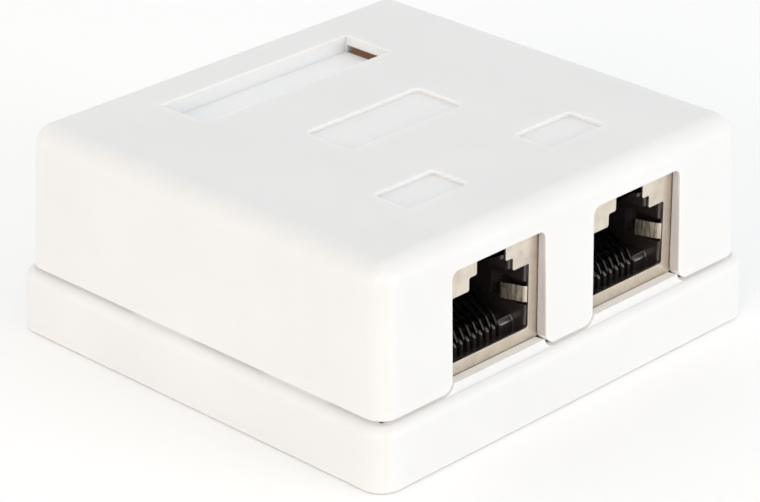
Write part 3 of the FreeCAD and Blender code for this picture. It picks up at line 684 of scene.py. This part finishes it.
# ---- operators ----------------------------------------------------------------------------
class JACKBOX_OT_base(bpy.types.Operator):
    """Make the moulded base"""
    bl_idname = "jackbox.base"
    bl_label = "Base"

    def execute(self, context):
        case = context.scene.jackbox_case
        refined("base", white_plastic(case), case.edge, case.edge_segments,
                rounded=((foot_edge, case.foot, 3),))
        return {"FINISHED"}


class JACKBOX_OT_cover(bpy.types.Operator):
    """Make the moulded cover"""
    bl_idname = "jackbox.cover"
    bl_label = "Cover"

    def execute(self, context):
        case = context.scene.jackbox_case
        refined("cover", white_plastic(case), case.edge, case.edge_segments)
        return {"FINISHED"}


class JACKBOX_OT_shields(bpy.types.Operator):
    """Make the folded shields of both jacks"""
    bl_idname = "jackbox.shields"
    bl_label = "Shields"

    def execute(self, context):
        jacks = context.scene.jackbox_jacks
        material = metal_material("Shield plating", tuple(jacks.shield), roughness=0.36,
                                  grain_height=0.01 * MM, grain_scale=5200.0, patch=0.82,
                                  worn=tuple(jacks.worn))
        for side in SIDES:
            node = "jack_shield_" + side
            refined(node, material, jacks.fold, 2,
                    rounded=((shield_corners(node), jacks.opening, 4),))
        return {"FINISHED"}


class JACKBOX_OT_inserts(bpy.types.Operator):
    """Make the moulded inserts of both jacks"""
    bl_idname = "jackbox.inserts"
    bl_label = "Inserts"

    def execute(self, context):
        jacks = context.scene.jackbox_jacks
        material = plastic_material("Black moulding", tuple(jacks.insert), roughness=0.31,
                                    grain_height=0.004 * MM, grain_scale=3600.0, ior=1.6, coat=0.7)
        for side in SIDES:
            node = "jack_insert_" + side
            refined(node, material, jacks.lip, 2, rounded=(
                (insert_mouth(node), jacks.mouth, 4), (comb_front(node), jacks.comb, 3)))
        return {"FINISHED"}


class JACKBOX_OT_contacts(bpy.types.Operator):
    """Sweep the contact wires of both jacks"""
    bl_idname = "jackbox.contacts"
    bl_label = "Contact wires"
    # a wire's corners: rises from the board's top, distances back from the insert's front
    ways = 8
    row_step = 1.4 * MM
    run_rise = 0.6 * MM
    turn_back = 2.15 * MM
    shoulder_rise = 2.0 * MM
    knee_back = 2.7 * MM
    knee_rise = 2.9 * MM
    end_back = 12.25 * MM
    slope = math.radians(27.5)

    def execute(self, context):
        jacks = context.scene.jackbox_jacks
        # the contacts' colour is painted dark, for the shade they reflect inside the jack
        material = metal_material("Contact plating", tuple(jacks.contact), roughness=0.32,
                                  grain_height=0.003 * MM, grain_scale=6000.0, patch=0.86)
        for side in SIDES:
            node = "jack_contacts_" + side
            low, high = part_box(node)
            first_x = low.x + jacks.wire_width / 2
            pitch = (high.x - low.x - jacks.wire_width) / (self.ways - 1)
            run_z = BOARD_HIGH.z + self.run_rise
            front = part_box("jack_insert_" + side)[0].y
            turn = (front + self.turn_back, run_z)
            shoulder = (front + self.turn_back, BOARD_HIGH.z + self.shoulder_rise)
            knee = (front + self.knee_back, BOARD_HIGH.z + self.knee_rise)
            end = (front + self.end_back, knee[1] + (self.end_back - self.knee_back) * math.tan(self.slope))
            points = []
            edges = []
            for way in range(self.ways):
                x = first_x + way * pitch
                pin_y = high.y - jacks.wire_thickness / 2 - (1 - way % 2) * self.row_step
                path = [(x, pin_y, low.z), (x, pin_y, run_z)]
                path += [(x, *point) for point in (turn, shoulder, knee, end)]
                edges += [(len(points) + i, len(points) + i + 1) for i in range(len(path) - 1)]
                points += path
            wires = line_object(node + "_look", points, edges)
            grown(wires, swept_wire_tree(), {
                "Width": jacks.wire_width, "Thickness": jacks.wire_thickness,
                "Bend": jacks.wire_bend, "Material": material})
            wires.data.shade_smooth()
            dress(wires, material, node)
        return {"FINISHED"}


class JACKBOX_OT_terminals(bpy.types.Operator):
    """Make the punch-down terminal blocks and their blades"""
    bl_idname = "jackbox.terminals"
    bl_label = "Terminals"

    def execute(self, context):
        inside = context.scene.jackbox_inside
        block = plastic_material("Terminal moulding", tuple(inside.terminal), roughness=0.42,
                                 grain_height=0.01 * MM)
        blade = metal_material("Tinned blade", (0.70, 0.68, 0.64), roughness=0.30,
                               grain_height=0.005 * MM, grain_scale=3000.0, patch=0.85)
        blade_edge = inside.edge * 0.6
        for side in SIDES:
            for row in ROWS:
                refined("terminal_block_%s_%s" % (side, row), block, inside.edge, 2)
                refined("terminal_contacts_%s_%s" % (side, row), blade, blade_edge, 2)
        return {"FINISHED"}


class JACKBOX_OT_board(bpy.types.Operator):
    """Finish the circuit board"""
    bl_idname = "jackbox.board"
    bl_label = "Circuit board"

    def execute(self, context):
        inside = context.scene.jackbox_inside
        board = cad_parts["circuit_board"]
        board.data.materials.clear()
        board.data.materials.append(board_material(tuple(inside.board)))
        return {"FINISHED"}


class JACKBOX_OT_plate(bpy.types.Operator):
    """Make the screen plate and the cable saddles"""
    bl_idname = "jackbox.plate"
    bl_label = "Plate and saddles"

    def execute(self, context):
        inside = context.scene.jackbox_inside
        steel = metal_material("Plated steel", tuple(inside.steel), roughness=0.34,
                               grain_height=0.008 * MM, grain_scale=3200.0, patch=0.88)
        refined("screen_plate", steel, inside.edge, 2)
        for side in SIDES:
            refined("cable_saddle_" + side, steel, inside.edge, 2)
        return {"FINISHED"}


def lathe(name, profile):
    """A solid turned about Z from its (radius, z) profile, which runs from top to bottom."""
    segments = 40
    bm = bmesh.new()
    rings = []
    for radius, z in profile:
        turns = [2 * math.pi * i / segments for i in range(segments)] if radius else [0.0]
        rings.append([bm.verts.new((radius * math.cos(turn), radius * math.sin(turn), z)) for turn in turns])
    for upper, lower in zip(rings[:-1], rings[1:]):
        for i in range(segments):
            j = (i + 1) % segments
            if len(upper) == 1:
                bm.faces.new((upper[0], lower[i], lower[j]))
            elif len(lower) == 1:
                bm.faces.new((upper[i], lower[0], upper[j]))
            else:
                bm.faces.new((upper[i], lower[i], lower[j], upper[j]))
    return object_from(bm, name)


def cross_shape(name, arm, side, top_z, low_z):
    """A cross that narrows downwards, to cut a screw's recess; side is half an arm's width."""
    taper = 0.55
    outline = [(side, side), (side, arm), (-side, arm), (-side, side), (-arm, side), (-arm, -side),
               (-side, -side), (-side, -arm), (side, -arm), (side, -side), (arm, -side), (arm, side)]
    bm = bmesh.new()
    top = [bm.verts.new((x, y, top_z)) for x, y in outline]
    low = [bm.verts.new((x * taper, y * taper, low_z)) for x, y in outline]
    bm.faces.new(top)
    bm.faces.new(low[::-1])
    for i in range(len(outline)):
        j = (i + 1) % len(outline)
        bm.faces.new((top[j], top[i], low[i], low[j]))
    bmesh.ops.recalc_face_normals(bm, faces=bm.faces)
    return object_from(bm, name)


def screw_shape(name, head_radius, head_height, shank_radius, shank_length):
    """One pan-head screw with a cross recess, its seat at the origin."""
    flat, rim = 0.55, 0.45      # where the head's rounding starts and ends, as shares of the head
    steps, whole_turn = 7, 78
    profile = [(0.0, head_height)]
    for step in range(steps):
        turn = math.radians(90 - whole_turn * step / (steps - 1))
        profile.append((head_radius * (flat + (1 - flat) * math.cos(turn)),
                        head_height * (rim + (1 - rim) * math.sin(turn))))
    profile += [(head_radius, head_height * 0.4), (head_radius * 0.98, 0.0), (shank_radius, 0.0),
                (shank_radius, -shank_length * 0.92), (shank_radius * 0.8, -shank_length),
                (0.0, -shank_length)]
    screw = lathe(name, profile)
    cutter = cross_shape(name + "_cross", head_radius * 0.56, head_radius * 0.13,
                         head_height * 1.2, head_height * 0.38)
    cut = screw.modifiers.new("Cross", "BOOLEAN")
    cut.operation = "DIFFERENCE"
    cut.object = cutter
    settle(screw)
    bpy.data.objects.remove(cutter)
    return screw


class JACKBOX_OT_screws(bpy.types.Operator):
    """Make the screws of the board and of the saddles"""
    bl_idname = "jackbox.screws"
    bl_label = "Screws"
    # radius of the shank and height of the head
    sizes = {"board_screws": (1.0 * MM, 1.5 * MM), "saddle_screws": (0.95 * MM, 1.2 * MM)}
    inside_cad = 0.995
    turn_step = 0.9
    sharp = math.radians(35.0)

    def execute(self, context):
        steel = metal_material("Screw zinc", (0.66, 0.66, 0.64), roughness=0.28,
                               grain_height=0.004 * MM, grain_scale=2600.0, patch=0.9)
        for node, (shank, head) in self.sizes.items():
            low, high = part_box(node)
            radius = (high.y - low.y) / 2
            middle = (low.y + high.y) / 2
            seat = high.z - head
            places = [(low.x + radius, middle, seat), (high.x - radius, middle, seat)]
            shape = screw_shape(node + "_shape", radius * self.inside_cad, head * self.inside_cad,
                                shank, seat - low.z)
            screws = line_object(node + "_look", places, [])
            grown(screws, repeated_tree(), {"Shape": shape, "Turn": self.turn_step, "Material": steel})
            bpy.data.objects.remove(shape)
            screws.data.shade_smooth()
            screws.data.set_sharp_from_angle(angle=self.sharp)
            dress(screws, steel, node)
        return {"FINISHED"}


class JACKBOX_OT_stage(bpy.types.Operator):
    """Make the floor, the lights and the camera"""
    bl_idname = "jackbox.stage"
    bl_label = "Stage"
    floor_half = 3.0
    sky_tint = (0.985, 0.998, 1.0)
    light_size = 0.45
    light_aim = (0.0, 0.0, 0.012)
    key_place = (-0.75, -0.25, 0.24)
    key_tint = (1.0, 0.815, 0.64)
    fill_place = (0.25, -0.75, 0.16)
    fill_tint = (0.97, 0.985, 1.0)
    azimuth = math.radians(-46.18)
    elevation = math.radians(25.21)
    roll = math.radians(0.21)
    distance = 0.367
    target = (-0.0006, 0.0, 0.0096)
    shift = (-0.0011, -0.0081)

    def make_floor(self, stage):
        half = self.floor_half
        mesh = bpy.data.meshes.new("floor")
        mesh.from_pydata([(-half, -half, 0.0), (half, -half, 0.0), (half, half, 0.0), (-half, half, 0.0)],
                         [], [(0, 1, 2, 3)])
        floor = new_object("floor", mesh)
        material, _, shader = new_material("Floor paper")
        shader.inputs["Base Color"].default_value = (*stage.floor, 1.0)
        shader.inputs["Roughness"].default_value = 0.7
        shader.inputs["Specular IOR Level"].default_value = 0.2
        floor.data.materials.append(material)

    def make_sky(self, stage):
        world = bpy.data.worlds.new("Soft room")
        world.use_nodes = True
        sky = world.node_tree.nodes["Background"]
        sky.inputs["Color"].default_value = (*self.sky_tint, 1.0)
        sky.inputs["Strength"].default_value = stage.world
        bpy.context.scene.world = world

    def make_light(self, name, power, place, tint):
        light = bpy.data.lights.new(name, "AREA")
        light.shape = "DISK"
        light.size = self.light_size
        light.energy = power
        light.color = tint
        lamp = new_object(name, light)
        lamp.location = place
        aim = Vector(self.light_aim) - Vector(place)
        lamp.rotation_euler = aim.to_track_quat("-Z", "Y").to_euler()

    def make_camera(self, stage):
        data = bpy.data.cameras.new("camera")
        data.lens = stage.lens
        data.sensor_width = 36.0
        data.sensor_fit = "HORIZONTAL"
        data.shift_x, data.shift_y = self.shift
        data.clip_start = 0.01
        data.clip_end = 20.0
        camera = new_object("camera", data)
        back = Vector((math.sin(self.azimuth) * math.cos(self.elevation),
                       -math.cos(self.azimuth) * math.cos(self.elevation), math.sin(self.elevation)))
        camera.location = Vector(self.target) + back * self.distance
        camera.rotation_euler = (-back).to_track_quat("-Z", "Y").to_euler()
        camera.rotation_euler.rotate_axis("Z", self.roll)
        bpy.context.scene.camera = camera

    def execute(self, context):
        stage = context.scene.jackbox_stage
        self.make_floor(stage)
        self.make_sky(stage)
        context.scene.view_settings.view_transform = "Standard"
        self.make_light("key", stage.key, self.key_place, self.key_tint)
        self.make_light("fill", stage.fill, self.fill_place, self.fill_tint)
        self.make_camera(stage)
        return {"FINISHED"}


class JACKBOX_PT_pieces(bpy.types.Panel):
    """Lists the pieces and their settings"""
    bl_label = "Jack box"
    bl_idname = "JACKBOX_PT_pieces"
    bl_space_type = "VIEW_3D"
    bl_region_type = "UI"
    bl_category = "Jack Box"

    def draw(self, context):
        scene = context.scene
        for settings, operators in PIECES:
            box = self.layout.box()
            group = getattr(scene, settings)
            for name in group.bl_rna.properties.keys():
                if name not in ("rna_type", "name"):
                    box.prop(group, name)
            for operator in operators:
                box.operator(operator.bl_idname)


PIECES = (
    ("jackbox_stage", (JACKBOX_OT_stage,)),
    ("jackbox_case", (JACKBOX_OT_base, JACKBOX_OT_cover)),
    ("jackbox_jacks", (JACKBOX_OT_shields, JACKBOX_OT_inserts, JACKBOX_OT_contacts)),
    ("jackbox_inside", (JACKBOX_OT_board, JACKBOX_OT_terminals, JACKBOX_OT_plate, JACKBOX_OT_screws)),
)
GROUPS = {"jackbox_stage": JackBoxStage, "jackbox_case": JackBoxCase, "jackbox_jacks": JackBoxJacks,
          "jackbox_inside": JackBoxInside}


def register():
    for name, group in GROUPS.items():
        bpy.utils.register_class(group)
        setattr(bpy.types.Scene, name, PointerProperty(type=group))
    for _, operators in PIECES:
        for operator in operators:
            bpy.utils.register_class(operator)
    bpy.utils.register_class(JACKBOX_PT_pieces)


def unregister():
    bpy.utils.unregister_class(JACKBOX_PT_pieces)
    for _, operators in reversed(PIECES):
        for operator in reversed(operators):
            bpy.utils.unregister_class(operator)
    for name, group in GROUPS.items():
        delattr(bpy.types.Scene, name)
        bpy.utils.unregister_class(group)


def main():
    register()
    for _, operators in PIECES:
        for operator in operators:
            family, name = operator.bl_idname.split(".")
            getattr(getattr(bpy.ops, family), name)()


if __name__ == "__main__":
    main()
